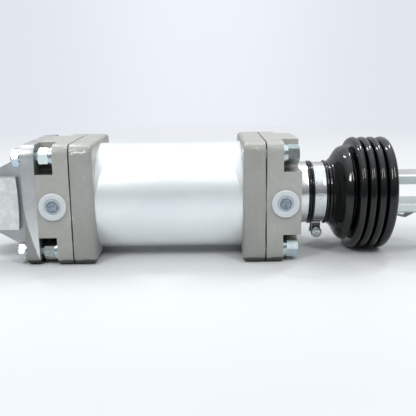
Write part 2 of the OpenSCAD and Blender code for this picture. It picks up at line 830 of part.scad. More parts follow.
rear_clevis();
rear_pin_bushes();
rear_cover();
rear_tube_flange();
cylinder_tube();
front_tube_flange();
front_cover();
gland_housing();
gland_o_ring();
rod_bush();
rod_seal();
rod_wiper();
rear_tube_o_ring();
front_tube_o_ring();
rear_wire_ring();
front_wire_ring();
rear_bumper();
front_bumper();
rear_studs();
rear_cover_nuts();
rear_flat_washers();
rear_spring_washers();
clevis_nuts();
clevis_spring_washers();
front_bolts();
front_flat_washers();
front_spring_washers();
rear_port_plug();
front_port_plug();
bellows();
clamp_band();
clamp_screw();
clamp_nut();
piston_rod();
piston();
piston_seals();
piston_wear_ring();
piston_o_ring();
piston_nut();
bellows_end_plate();
rod_lock_nut();
rod_fork();
end_plate_ring();
fork_pin();
pin_clip();
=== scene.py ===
"""Looks of the pneumatic cylinder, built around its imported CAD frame.

Everything is in metres in the CAD frame: X runs along the rod, Z is up, and the ports face -Y.
Shader patterns read object coordinates scaled to millimetres, so their sizes below are in millimetres.
"""
import json
import math

import bmesh
import bpy
from mathutils import Matrix, Vector


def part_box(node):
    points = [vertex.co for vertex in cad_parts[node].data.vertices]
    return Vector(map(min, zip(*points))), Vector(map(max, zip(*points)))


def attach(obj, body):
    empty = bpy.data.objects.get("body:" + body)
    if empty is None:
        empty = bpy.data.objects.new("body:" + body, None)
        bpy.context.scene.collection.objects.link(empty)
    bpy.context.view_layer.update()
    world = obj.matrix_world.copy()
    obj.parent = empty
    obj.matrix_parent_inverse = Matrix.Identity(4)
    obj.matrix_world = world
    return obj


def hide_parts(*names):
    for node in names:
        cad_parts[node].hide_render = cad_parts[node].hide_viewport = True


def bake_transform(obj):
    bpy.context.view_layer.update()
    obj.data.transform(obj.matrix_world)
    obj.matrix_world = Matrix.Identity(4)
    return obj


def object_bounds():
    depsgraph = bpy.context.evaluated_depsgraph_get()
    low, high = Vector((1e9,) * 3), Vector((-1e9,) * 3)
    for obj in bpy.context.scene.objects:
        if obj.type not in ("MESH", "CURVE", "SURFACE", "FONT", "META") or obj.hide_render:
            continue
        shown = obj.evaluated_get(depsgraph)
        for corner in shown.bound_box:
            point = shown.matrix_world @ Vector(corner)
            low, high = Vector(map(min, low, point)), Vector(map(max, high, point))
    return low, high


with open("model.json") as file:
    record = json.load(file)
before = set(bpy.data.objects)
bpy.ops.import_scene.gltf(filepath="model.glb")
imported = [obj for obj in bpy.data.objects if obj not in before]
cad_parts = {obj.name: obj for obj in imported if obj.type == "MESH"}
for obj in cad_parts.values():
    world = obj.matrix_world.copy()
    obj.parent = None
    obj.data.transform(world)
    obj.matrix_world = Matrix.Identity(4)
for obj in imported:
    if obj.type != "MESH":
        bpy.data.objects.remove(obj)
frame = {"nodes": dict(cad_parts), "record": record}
cad_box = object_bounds()
NODES = frame["nodes"]
MM = 0.001


# --- Shader building ---------------------------------------------------------------------------------------


class Tree:
    """A node tree, with short calls for the nodes that a material or the world is built from."""

    def __init__(self, tree):
        self.tree = tree

    def node(self, kind, **props):
        made = self.tree.nodes.new(kind)
        for key, value in props.items():
            setattr(made, key, value)
        return made

    def link(self, a, b):
        self.tree.links.new(a, b)

    def put(self, socket, value):
        """Links an output to a socket, or sets a plain value on it."""
        if isinstance(value, bpy.types.NodeSocket):
            self.link(value, socket)
        elif isinstance(value, tuple) and len(value) == 3 and socket.type == "RGBA":
            socket.default_value = (*value, 1)
        else:
            socket.default_value = value

    def math(self, operation, *values):
        made = self.node("ShaderNodeMath", operation=operation)
        for socket, value in zip(made.inputs, values):
            self.put(socket, value)
        return made.outputs[0]

    def ramp(self, value, low, high, out_low=0.0, out_high=1.0):
        """Maps value from low..high to out_low..out_high, clamped and smooth."""
        made = self.node("ShaderNodeMapRange", interpolation_type="SMOOTHSTEP")
        self.put(made.inputs["Value"], value)
        limits = (("From Min", low), ("From Max", high), ("To Min", out_low), ("To Max", out_high))
        for name, number in limits:
            made.inputs[name].default_value = number
        return made.outputs["Result"]

    def mix(self, factor, a, b):
        """Colour a where factor is 0 and b where it is 1."""
        made = self.node("ShaderNodeMix", data_type="RGBA")
        factor_in, a_in, b_in = made.inputs[0], made.inputs[6], made.inputs[7]
        for socket, value in ((factor_in, factor), (a_in, a), (b_in, b)):
            self.put(socket, value)
        return made.outputs[2]


class Shader(Tree):
    """One procedural material; its patterns read the object's coordinates in millimetres."""

    def __init__(self, name, **sockets):
        self.material = bpy.data.materials.new(name)
        self.material.use_nodes = True
        super().__init__(self.material.node_tree)
        self.bsdf = self.tree.nodes["Principled BSDF"]
        self.mm = self.node("ShaderNodeVectorMath", operation="SCALE")
        self.link(self.node("ShaderNodeTexCoord").outputs["Object"], self.mm.inputs[0])
        self.mm.inputs["Scale"].default_value = 1 / MM
        self.split = self.node("ShaderNodeSeparateXYZ")
        self.link(self.mm.outputs[0], self.split.inputs[0])
        for key, value in sockets.items():
            self.set(key.replace("_", " "), value)

    def set(self, name, value):
        self.put(self.bsdf.inputs[name], value)

    def x(self):
        return self.split.outputs[0]

    def y(self):
        return self.split.outputs[1]

    def z(self):
        return self.split.outputs[2]

    def inset(self, half, coordinate):
        """How deep a point lies under the nearer of two sides at +-half."""
        return self.math("SUBTRACT", half, self.math("ABSOLUTE", coordinate))

    def facing(self, axis):
        """How far the surface's normal points along an axis: 1 is Y and 2 is Z."""
        normal = self.node("ShaderNodeSeparateXYZ")
        self.link(self.node("ShaderNodeNewGeometry").outputs["Normal"], normal.inputs[0])
        return normal.outputs[axis]

    def stretched(self, stretch):
        """The coordinates in millimetres, divided by stretch along each axis."""
        if stretch == (1, 1, 1):
            return self.mm.outputs[0]
        made = self.node("ShaderNodeVectorMath", operation="DIVIDE")
        self.link(self.mm.outputs[0], made.inputs[0])
        made.inputs[1].default_value = stretch
        return made.outputs[0]

    def noise(self, size, detail=2.0, rough=0.5, stretch=(1, 1, 1), distort=0.0):
        """Noise whose blotches are about size millimetres across."""
        made = self.node("ShaderNodeTexNoise")
        self.link(self.stretched(stretch), made.inputs["Vector"])
        made.inputs["Scale"].default_value = 1 / size
        made.inputs["Detail"].default_value = detail
        made.inputs["Roughness"].default_value = rough
        made.inputs["Distortion"].default_value = distort
        return made.outputs["Fac"]

    def cells(self, size):
        """Distance to the nearest of points that lie about size millimetres apart."""
        made = self.node("ShaderNodeTexVoronoi")
        self.link(self.mm.outputs[0], made.inputs["Vector"])
        made.inputs["Scale"].default_value = 1 / size
        return made.outputs["Distance"]

    def bump(self, height, depth_mm, strength=1.0, under=None):
        """Bump of depth_mm, on top of the bump that under gives."""
        made = self.node("ShaderNodeBump")
        made.inputs["Distance"].default_value = depth_mm * MM
        made.inputs["Strength"].default_value = strength
        self.put(made.inputs["Height"], height)
        if under is not None:
            self.link(under, made.inputs["Normal"])
        return made.outputs["Normal"]

    def normal(self, value):
        """Sets the surface's normal and returns the finished material."""
        self.set("Normal", value)
        return self.material


def box_edge_wear(s, x0, x1, half, width):
    """Broken wear along the long edges of a square block from x0 to x1 with sides at +-half, all in mm."""
    from_rear = s.math("ABSOLUTE", s.math("SUBTRACT", s.x(), x0))
    from_front = s.math("ABSOLUTE", s.math("SUBTRACT", s.x(), x1))
    near_end = s.math("MINIMUM", from_rear, from_front)
    near_side = s.math("MINIMUM", s.inset(half, s.y()), s.inset(half, s.z()))
    edge = s.math("MAXIMUM", near_end, near_side)
    reach = s.ramp(s.noise(7.0, 4, 0.65), 0.52, 0.78, 0.0, width)
    return s.math("LESS_THAN", edge, reach)


def painted_foot_shade(s, half):
    """Painted shade on the lowest rim of a block that stands on its side at -half: a dark band standing in
    for the shaded underside and its contact shadow.
    """
    height = s.math("ADD", s.z(), half)
    height = s.math("ADD", height, s.ramp(s.noise(6, 3, 0.6), 0.3, 0.7, -0.35, 0.35))
    return s.ramp(height, 4.1, 4.9, 0.9, 0.0)


def corner_scratches(s, half):
    """Scratches along X on the upper corners of a block with sides at +-half."""
    near_y = s.ramp(s.inset(half, s.y()), 2.0, 5.0, 1.0, 0.0)
    near_z = s.ramp(s.inset(half, s.z()), 4.0, 8.0, 1.0, 0.0)
    corner = s.math("MULTIPLY", s.math("MULTIPLY", near_y, near_z), s.math("GREATER_THAN", s.z(), 0.0))
    scratch = s.ramp(s.noise(1.0, 3, 0.6, stretch=(7, 1, 1), distort=0.4), 0.56, 0.62)
    patches = s.ramp(s.noise(13, 2), 0.42, 0.56)
    return s.math("MULTIPLY", s.math("MULTIPLY", scratch, patches), corner)


def long_chip(s, x0, x1, half):
    """One long, ragged chip from x0 to x1, high on the side that the ports are on."""
    below_top, rise = 6.6, 0.10
    level = s.math("ADD", half - below_top, s.math("MULTIPLY", rise, s.math("SUBTRACT", s.x(), x0)))
    level = s.math("ADD", level, s.ramp(s.noise(2.2, 3, 0.6), 0.3, 0.7, -0.7, 0.7))
    off = s.math("ABSOLUTE", s.math("SUBTRACT", s.z(), level))
    chip = s.math("MULTIPLY", s.ramp(off, 0.45, 0.85, 1.0, 0.0), s.math("LESS_THAN", s.y(), 0.0))
    chip = s.math("MULTIPLY", chip, s.ramp(s.x(), x0 + 1.5, x0 + 2.5))
    return s.math("MULTIPLY", chip, s.ramp(s.x(), x1 - 5.0, x1 - 3.5, 1.0, 0.0))


def painted_pocket_shade(s, half, seat_x, open_x):
    """Painted shade in the bolt pockets of a cover; where they open towards +X it gets lighter on the way
    out, where light falls in.
    """
    under_y, under_z = s.ramp(s.inset(half, s.y()), 0.6, 2.2), s.ramp(s.inset(half, s.z()), 6.0, 14.0)
    inside = s.math("MULTIPLY", under_y, under_z)
    way = 1 if open_x > seat_x else -1
    from_seat = s.math("MULTIPLY", way, s.math("SUBTRACT", s.x(), seat_x))
    pocket_shade = s.math("MULTIPLY", inside, s.ramp(from_seat, -0.4, -0.1))
    if way > 0:
        pocket_shade = s.math("MULTIPLY", pocket_shade, s.ramp(from_seat, 1.0, open_x - seat_x, 1.0, 0.25))
    return s.math("MULTIPLY", pocket_shade, 0.88)


# --- Materials ---------------------------------------------------------------------------------------------


def grey_paint(name, x0, x1, half, lift=1.0, pockets=None, chipped=False):
    """Warm grey enamel on a casting, with dust, scuffs, scratches and one chip if chipped, and painted shade
    that darkens it towards the bottom, along its foot and in its bolt pockets.

    The block reaches from x0 to x1 and its sides are at +-half; lift makes it paler.  pockets gives the X of
    a bolt pocket's seat and of its open end.  All in millimetres.
    """
    s = Shader(name, IOR=1.5, Coat_Weight=0.12, Coat_Roughness=0.25)
    enamel, pale_enamel = (0.285, 0.287, 0.265), (0.32, 0.322, 0.30)
    blotch, streak, settled_dust = (0.22, 0.22, 0.205), (0.38, 0.38, 0.37), (0.41, 0.41, 0.39)
    dust_speck, scuff, bare_metal = (0.58, 0.58, 0.56), (0.62, 0.62, 0.61), (0.74, 0.75, 0.75)
    # These three colours are painted shade: for the lower part, the foot and the bolt pockets.
    shade, shade_black, pocket_shade = (0.17, 0.175, 0.165), (0.018, 0.021, 0.020), (0.03, 0.034, 0.03)
    settled = s.math("MULTIPLY", s.ramp(s.facing(2), 0.55, 0.95), s.ramp(s.noise(7, 3), 0.2, 0.6, 0.5, 0.8))
    specks = s.math("MULTIPLY", s.ramp(s.cells(3.1), 0.0, 0.17, 0.55, 0.0), s.ramp(s.noise(11, 2), 0.55, 0.7))
    scuffs = s.ramp(s.noise(1.1, 2, 0.5, stretch=(1, 1, 16)), 0.70, 0.76)
    scuffs = s.math("MULTIPLY", scuffs, s.ramp(s.noise(17, 2), 0.54, 0.66))
    wear = s.math("MAXIMUM", corner_scratches(s, half), box_edge_wear(s, x0, x1, half, 0.5))
    if chipped:
        wear = s.math("MAXIMUM", wear, long_chip(s, x0, x1, half))
    layers = [
        (s.ramp(s.noise(2.4, 4, 0.7), 0.40, 0.72, 0.0, 0.25), blotch),
        (s.ramp(s.noise(1.3, 3, 0.6, stretch=(1, 1, 22)), 0.5, 0.8, 0.0, 0.30), streak),
        (settled, settled_dust),
        (specks, dust_speck),
        (scuffs, scuff),
        (wear, bare_metal),
        # Painted shade: darker towards the bottom.
        (s.ramp(s.z(), -half, 4.0, 0.30, 0.0), shade),
        # Painted shade along the foot.
        (painted_foot_shade(s, half), shade_black),
    ]
    if pockets:
        # Painted shade in the bolt pockets.
        layers.append((painted_pocket_shade(s, half, *pockets), pocket_shade))
    tones = (tuple(lift * c for c in color) for color in (enamel, pale_enamel))
    base = s.mix(s.ramp(s.noise(28, 3, 0.55), 0.35, 0.68), *tones)
    for amount, color in layers:
        base = s.mix(amount, base, color)
    s.set("Base Color", base)
    s.set("Roughness", s.ramp(s.noise(6, 3), 0.3, 0.75, 0.34, 0.52))
    peel = s.bump(s.noise(1.3, 2, 0.5), 0.05, 0.55)
    return s.normal(s.bump(s.noise(5.5, 2, 0.4), 0.12, 0.35, under=peel))


def edge_light_and_shade(s, plate_x, half):
    """Painted light and shade on the clevis plate's narrow sides: a lit band behind plate_x that narrows
    downwards, standing in for the shading of an edge chamfered more towards the bottom.
    """
    start_z, reach, wide, curve = 8.0, half + 4.0, 10.4, 1.7
    below = s.math("MAXIMUM", s.math("DIVIDE", s.math("SUBTRACT", start_z, s.z()), reach), 0.0)
    edge_x = s.math("ADD", plate_x - wide, s.math("MULTIPLY", wide, s.math("POWER", below, curve)))
    edge_x = s.math("ADD", edge_x, s.ramp(s.noise(4, 2, 0.5), 0.3, 0.7, -0.2, 0.2))
    return s.ramp(s.math("SUBTRACT", s.x(), edge_x), -0.5, 0.5)


def cast_aluminium(name):
    """Bare sand casting: satin, slightly blue, with grain, and brighter, mottled on its machined faces."""
    s = Shader(name, Metallic=0.85)
    skin, pale_skin, dark_grain = (0.41, 0.43, 0.44), (0.51, 0.525, 0.53), (0.38, 0.39, 0.40)
    boss, pale_boss, boss_stain = (0.68, 0.69, 0.68), (0.86, 0.87, 0.86), (0.50, 0.49, 0.46)
    # All three colours are painted: a highlight and a shade on the plate's narrow sides, and shade along the
    # foot.
    edge_highlight, edge_shade, shade_black = (0.74, 0.76, 0.765), (0.30, 0.305, 0.29), (0.02, 0.023, 0.022)
    boss_y, boss_end_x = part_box("rear_pin_bushes")[1].y / MM, 28.0
    on_boss = s.math("GREATER_THAN", s.math("ABSOLUTE", s.y()), boss_y - 0.3)
    on_boss = s.math("MULTIPLY", on_boss, s.math("LESS_THAN", s.x(), boss_end_x))
    machined = s.math("MULTIPLY", s.ramp(s.math("ABSOLUTE", s.facing(1)), 0.985, 0.998), on_boss)
    mottle = s.noise(8.0, 4, 0.65, distort=0.6)
    bright = s.mix(s.ramp(mottle, 0.36, 0.68), boss, pale_boss)
    bright = s.mix(s.ramp(s.noise(1.4, 3, 0.6), 0.55, 0.72, 0.0, 0.22), bright, boss_stain)
    plate_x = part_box("rear_clevis")[1].x / MM
    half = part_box("rear_clevis")[1].z / MM
    # Painted light and shade on the plate's narrow sides, standing in for the shading of a chamfered edge.
    on_edge = s.math("GREATER_THAN", s.math("ABSOLUTE", s.y()), half - 1.5)
    lit_edge = s.math("MULTIPLY", on_edge, edge_light_and_shade(s, plate_x, half))
    shaded_edge = s.math("MULTIPLY", s.math("SUBTRACT", on_edge, lit_edge), s.math("LESS_THAN", s.z(), 8.0))
    grain = s.noise(1.2, 5, 0.7)
    cast = s.mix(s.ramp(s.noise(16, 3), 0.35, 0.7), skin, pale_skin)
    for amount, color in ((s.ramp(grain, 0.45, 0.75, 0.0, 0.35), dark_grain),
                          (s.math("MULTIPLY", lit_edge, s.ramp(s.z(), -36.0, 10.0, 1.0, 0.0)), edge_highlight),
                          (shaded_edge, edge_shade),
                          # Painted shade along the foot.
                          (painted_foot_shade(s, half), shade_black)):
        cast = s.mix(amount, cast, color)
    s.set("Base Color", s.mix(machined, cast, bright))
    s.set("Roughness", s.ramp(mottle, 0.3, 0.75, 0.36, 0.55))
    pits = s.bump(grain, 0.09, 0.6)
    return s.normal(s.bump(s.noise(7, 2), 0.22, 0.35, under=pits))


def anodised_tube(name):
    """Clear anodised drawn tube: satin, with fine lines along X, and a painted lighter lower half that stands
    in for light from the floor.
    """
    s = Shader(name, Metallic=0.65)
    anodised, pale_anodised = (0.775, 0.825, 0.84), (0.815, 0.86, 0.865)
    lit_underside, drawn_line = (0.96, 0.985, 0.99), (0.72, 0.75, 0.77)
    drawn = s.noise(0.9, 3, 0.6, stretch=(60, 1, 1))
    base = s.mix(s.ramp(s.noise(40, 2, 0.5), 0.35, 0.7), anodised, pale_anodised)
    # Painted light: paler towards the bottom.
    base = s.mix(s.ramp(s.z(), -42.0, -4.0, 1.0, 0.0), base, lit_underside)
    s.set("Base Color", s.mix(s.ramp(drawn, 0.5, 0.8, 0.0, 0.10), base, drawn_line))
    s.set("Roughness", s.ramp(drawn, 0.3, 0.7, 0.35, 0.43))
    return s.normal(s.bump(drawn, 0.006, 0.2))


def turned_metal(name, color, rough=0.17, line=0.35):
    """Metal turned about X, with fine rings."""
    s = Shader(name, Metallic=1.0)
    rings = s.noise(line, 3, 0.7, stretch=(1, 60, 60))
    stain = s.noise(9, 3, 0.6)
    s.set("Base Color", s.mix(s.ramp(stain, 0.35, 0.7), color, tuple(c * 0.88 for c in color)))
    s.set("Roughness", s.ramp(rings, 0.3, 0.7, rough * 0.8, rough * 1.35))
    return s.normal(s.bump(rings, 0.012, 0.4))


def clamp_strip(name):
    """Bright rolled strip whose two ears, below the band, are painted dark: painted shade and a painted
    reflection of the black rubber.
    """
    s = Shader(name, Metallic=1.0)
    strip, stained_strip, shade_black = (0.69, 0.72, 0.74), (0.60, 0.63, 0.65), (0.02, 0.022, 0.022)
    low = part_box("clamp_band")[0].z / MM
    # Painted shade and reflection on the ears.
    ear_shade = s.ramp(s.z(), low + 10.5, low + 12.5, 0.94, 0.0)
    rolled = s.noise(0.5, 3, 0.7, stretch=(1, 60, 60))
    base = s.mix(s.ramp(s.noise(9, 3, 0.6), 0.35, 0.7), strip, stained_strip)
    s.set("Base Color", s.mix(ear_shade, base, shade_black))
    s.set("Roughness", s.ramp(rolled, 0.3, 0.7, 0.13, 0.22))
    return s.normal(s.bump(rolled, 0.012, 0.4))


def zinc_plate(name, tint):
    """Bright zinc with a faint passivate tint that wanders from its own colour to blue."""
    s = Shader(name, Metallic=1.0)
    blue = (tint[0] * 0.88, tint[1] * 0.95, tint[2] * 1.10)
    base = s.mix(s.ramp(s.noise(14, 2, 0.5), 0.38, 0.60), tint, blue)
    marks = s.ramp(s.noise(2.1, 3, 0.6), 0.55, 0.75, 0.0, 0.35)
    s.set("Base Color", s.mix(marks, base, tuple(0.68 * c for c in tint)))
    s.set("Roughness", s.ramp(s.noise(2.7, 3, 0.55), 0.3, 0.7, 0.16, 0.26))
    return s.normal(s.bump(s.noise(3.0, 2, 0.5), 0.008, 0.25))


def fork_plate(name):
    """Zinc on drawn square bar with faint lines along X, and painted reflections by height: a greyer upper
    arm, a pale green lower arm with a darker lower edge, and a bright top face.
    """
    s = Shader(name, Metallic=1.0)
    lower_arm_reflection, lower_edge_reflection, upper_arm_reflection = (0.86, 0.95, 0.93), (0.60, 0.66, 0.635), (0.47, 0.515, 0.515)
    top_highlight, dark_line, yellow_stain = (0.96, 0.965, 0.99), (0.36, 0.39, 0.38), (0.66, 0.68, 0.62)
    drawn = s.noise(0.8, 3, 0.6, stretch=(60, 1, 1))
    # Painted reflections by height: pale green lower arm, greyer upper arm, bright top face.
    base = s.mix(s.ramp(s.z(), -9.6, -8.2), lower_edge_reflection, lower_arm_reflection)
    for amount, color in ((s.ramp(s.z(), -1.0, 3.0), upper_arm_reflection),
                          (s.ramp(s.z(), 14.8, 15.6), top_highlight),
                          (s.ramp(drawn, 0.60, 0.72, 0.0, 0.45), dark_line),
                          (s.ramp(s.noise(9, 2, stretch=(6, 1, 1)), 0.4, 0.7, 0.0, 0.2), yellow_stain)):
        base = s.mix(amount, base, color)
    s.set("Base Color", base)
    s.set("Roughness", s.ramp(drawn, 0.3, 0.7, 0.20, 0.28))
    return s.normal(s.bump(drawn, 0.006, 0.3))


def bellows_rubber(name):
    """Black moulded rubber: a glossy skin over a softer sheen, slightly uneven, with a little dust and a
    painted bluish sheen on its upward faces.
    """
    s = Shader(name, IOR=1.12, Coat_Weight=0.85, Coat_Roughness=0.08, Coat_IOR=1.5)
    black, dust_and_sheen = (0.002, 0.0025, 0.003), (0.040, 0.043, 0.055)
    # Dust and a painted bluish sheen on upward faces.
    upward = s.ramp(s.facing(2), 0.45, 1.0, 0.0, 0.8)
    dust_and_sheen_mask = s.math("MULTIPLY", upward, s.ramp(s.noise(6, 4, 0.65), 0.36, 0.70))
    s.set("Base Color", s.mix(dust_and_sheen_mask, black, dust_and_sheen))
    s.set("Roughness", s.ramp(s.noise(9, 3, 0.6), 0.3, 0.7, 0.26, 0.42))
    skin = s.bump(s.noise(1.1, 2, 0.5), 0.006, 0.2)
    return s.normal(s.bump(s.noise(9, 2, 0.5), 0.08, 0.25, under=skin))


def seal_rubber(name):
    s = Shader(name, IOR=1.5)
    s.set("Base Color", s.mix(s.noise(4, 3), (0.012, 0.012, 0.013), (0.03, 0.03, 0.032)))
    s.set("Roughness", s.ramp(s.noise(2, 3), 0.3, 0.7, 0.4, 0.6))
    return s.normal(s.bump(s.noise(0.6, 2), 0.02, 0.4))


def port_plastic(name, plug):
    """Cloudy white polyethylene; the thin middle of the cap is blue-grey, as the dark port shows through."""
    s = Shader(name, IOR=1.5, Subsurface_Weight=0.25, Subsurface_Scale=0.003)
    s.set("Subsurface Radius", (1.0, 1.1, 1.2))
    rim, outer_rim, thin_rim = (0.55, 0.585, 0.61), (0.585, 0.615, 0.635), (0.42, 0.47, 0.53)
    centre_dark, centre_pale, groove = (0.13, 0.17, 0.23), (0.30, 0.35, 0.42), (0.09, 0.12, 0.17)
    low, high = (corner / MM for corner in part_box(plug))
    from_axis = s.math("SUBTRACT", s.x(), (low.x + high.x) / 2)
    squares = (s.math("POWER", s.math("ABSOLUTE", side), 2.0) for side in (from_axis, s.z()))
    radius = s.math("SQRT", s.math("ADD", *squares))
    radius = s.math("ADD", radius, s.ramp(s.noise(2.2, 3, 0.6), 0.3, 0.7, -0.35, 0.35))
    centre = s.mix(s.ramp(s.noise(1.5, 3, 0.65, distort=0.8), 0.36, 0.64), centre_dark, centre_pale)
    in_groove = s.math("MULTIPLY", s.ramp(radius, 3.4, 4.0), s.ramp(radius, 4.3, 4.9, 1.0, 0.0))
    base = s.mix(s.ramp(radius, 8.6, 10.6), rim, outer_rim)
    for amount, color in ((s.ramp(radius, 4.8, 7.4, 1.0, 0.0), thin_rim),
                          (s.ramp(radius, 4.2, 5.0, 1.0, 0.0), centre),
                          (s.math("MULTIPLY", in_groove, 0.55), groove)):
        base = s.mix(amount, base, color)
    s.set("Base Color", base)
    s.set("Roughness", s.ramp(s.noise(1.5, 3), 0.3, 0.7, 0.34, 0.5))
    return s.normal(s.bump(s.noise(1.8, 2), 0.03, 0.3))


def sintered_bronze(name):
    s = Shader(name, Metallic=0.8)
    s.set("Base Color", s.mix(s.noise(2.2, 4, 0.7), (0.36, 0.25, 0.17), (0.52, 0.40, 0.30)))
    s.set("Roughness", s.ramp(s.noise(1.2, 3), 0.3, 0.7, 0.4, 0.6))
    return s.normal(s.bump(s.noise(0.5, 3), 0.03, 0.5))


def spring_steel(name):
    s = Shader(name, Metallic=0.9)
    s.set("Base Color", s.mix(s.noise(5, 3, 0.6), (0.16, 0.17, 0.175), (0.27, 0.28, 0.285)))
    s.set("Roughness", s.ramp(s.noise(3, 3), 0.3, 0.7, 0.24, 0.42))
    return s.normal(s.bump(s.noise(1.5, 3), 0.02, 0.4))


def wear_plastic(name):
    s = Shader(name, IOR=1.48)
    s.set("Base Color", s.mix(s.noise(5, 3), (0.09, 0.17, 0.14), (0.13, 0.22, 0.18)))
    s.set("Roughness", s.ramp(s.noise(2, 3), 0.3, 0.7, 0.45, 0.6))
    return s.normal(s.bump(s.noise(0.8, 2), 0.02, 0.4))


def paint_for(node):
    """The paint of a cover or flange; a cover's block ends at the tube, where its spigot begins."""
    name, cover_lift = f"paint_{node}", 1.18
    low, high = (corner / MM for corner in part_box(node))
    if node == "rear_cover":
        tube_x, seat_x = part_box("cylinder_tube")[0].x / MM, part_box("rear_flat_washers")[1].x / MM
        return grey_paint(name, low.x, tube_x, high.z, cover_lift, (seat_x, low.x))
    if node == "front_cover":
        tube_x, seat_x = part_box("cylinder_tube")[1].x / MM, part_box("front_flat_washers")[0].x / MM
        return grey_paint(name, tube_x, high.x, high.z, cover_lift, (seat_x, high.x))
    return grey_paint(name, low.x, high.x, high.z, chipped=node == "rear_tube_flange")


CASTING = cast_aluminium("cast_aluminium")
ZINC = zinc_plate("zinc", (0.54, 0.60, 0.575))
REAR_PLASTIC = port_plastic("rear_port_plastic", "rear_port_plug")
FRONT_PLASTIC = port_plastic("front_port_plastic", "front_port_plug")
RUBBER = bellows_rubber("bellows_rubber")
STRIP = clamp_strip("clamp_strip")

BY_SLOT = {
    "cast_aluminium": CASTING,
    "anodised_tube": anodised_tube("anodised_tube"),
    "turned_aluminium": turned_metal("turned_aluminium", (0.80, 0.815, 0.82)),
    "bronze": sintered_bronze("bronze"),
    "seal_rubber": seal_rubber("seal_rubber"),
    "bellows_rubber": RUBBER,
    "zinc_steel": ZINC,
    "fork_zinc": fork_plate("fork_zinc"),
    "clamp_steel": STRIP,
    "chromed_rod": turned_metal("chromed_rod", (0.80, 0.81, 0.82), 0.10, 0.25),
    "spring_steel": spring_steel("spring_steel"),
    "wear_plastic": wear_plastic("wear_plastic"),
}
BY_NODE = {
    "rear_port_plug": REAR_PLASTIC,
    "front_port_plug": FRONT_PLASTIC,
    "rear_cover_nuts": zinc_plate("yellow_zinc", (0.80, 0.82, 0.70)),
    "clevis_nuts": zinc_plate("clevis_zinc", (0.66, 0.71, 0.69)),
}


def dress_cad():
    """Gives every CAD node its material, and rounds the edges of the castings, the fork and the nuts."""
    weld_gap, bevel_angle = 1e-6, math.radians(35)
    round_mm = {"rear_cover": 0.5, "front_cover": 0.5, "rear_tube_flange": 0.4, "front_tube_flange": 0.4,
                "rear_clevis": 0.9, "gland_housing": 0.3, "rod_fork": 0.5, "front_bolts": 0.25,
                "rear_cover_nuts": 0.25, "clevis_nuts": 0.25}
    for part in frame["record"]["subparts"]:
        node, slot = part["node"], part["material_slot"]
        obj = NODES[node]
        material = paint_for(node) if slot == "grey_paint" else BY_NODE.get(node) or BY_SLOT[slot]
        for place in obj.material_slots:
            place.material = material
        if node in round_mm:
            weld = obj.modifiers.new("weld", "WELD")
            weld.merge_threshold = weld_gap
            bevel = obj.modifiers.new("rounded_edges", "BEVEL")
            bevel.width = round_mm[node] * MM
            bevel.segments = 3
            bevel.limit_method = "ANGLE"
            bevel.angle_limit = bevel_angle
            bevel.use_clamp_overlap = True
            bevel.harden_normals = False


dress_cad()


# --- Pieces ------------------------------------------------------------------------------------------------


def add_mesh(name, verts, faces, material, body, sharp=35):
    """A smooth-shaded mesh piece, in millimetres, that rides on body; edges sharper than sharp stay sharp."""
    mesh = bpy.data.meshes.new(name)
    mesh.from_pydata([Vector(v) * MM for v in verts], [], faces)
    bm = bmesh.new()
    bm.from_mesh(mesh)
    bmesh.ops.recalc_face_normals(bm, faces=bm.faces)
    bm.to_mesh(mesh)
    bm.free()
    mesh.shade_smooth()
    mesh.set_sharp_from_angle(angle=math.radians(sharp))
    mesh.materials.append(material)
    obj = bpy.data.objects.new(name, mesh)
    bpy.context.scene.collection.objects.link(obj)
    if body:
        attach(obj, body)
    return obj


def lathe(profile, steps, place):
    """Turns a closed profile of (radius, along) points; place(radius, along, angle) gives each vertex."""
    count = len(profile)
    verts = [place(r, a, 2 * math.pi * i / steps) for i in range(steps) for r, a in profile]
    faces = []
    for i in range(steps):
        near, far = i * count, (i + 1) % steps * count
        for j in range(count):
            k = (j + 1) % count
            faces.append((near + j, near + k, far + k, far + j))
    return verts, faces


def about_x(r, x, angle):
    return x, r * math.sin(angle), r * math.cos(angle)


def smooth_path(points, cuts):
    """A Catmull-Rom curve through points, with cuts stretches between each two."""
    out = []
    for i in range(len(points) - 1):
        p0, p1, p2, p3 = (Vector(points[min(max(i + d, 0), len(points) - 1)]) for d in (-1, 0, 1, 2))
        for step in range(cuts):
            t = step / cuts
            out.append(tuple(0.5 * (2 * p1 + (p2 - p0) * t + (2 * p0 - 5 * p1 + 4 * p2 - p3) * t * t
                                    + (3 * p1 - p0 - 3 * p2 + p3) * t ** 3)))
    return out + [tuple(points[-1])]


def arc(r, x, size, start, end, steps):
    """Points of an arc in a (radius, x) profile; angle 0 points outwards and 90 degrees along +X."""
    angles = [math.radians(start + (end - start) * i / steps) for i in range(steps + 1)]
    return [(r + size * math.cos(a), x + size * math.sin(a)) for a in angles]


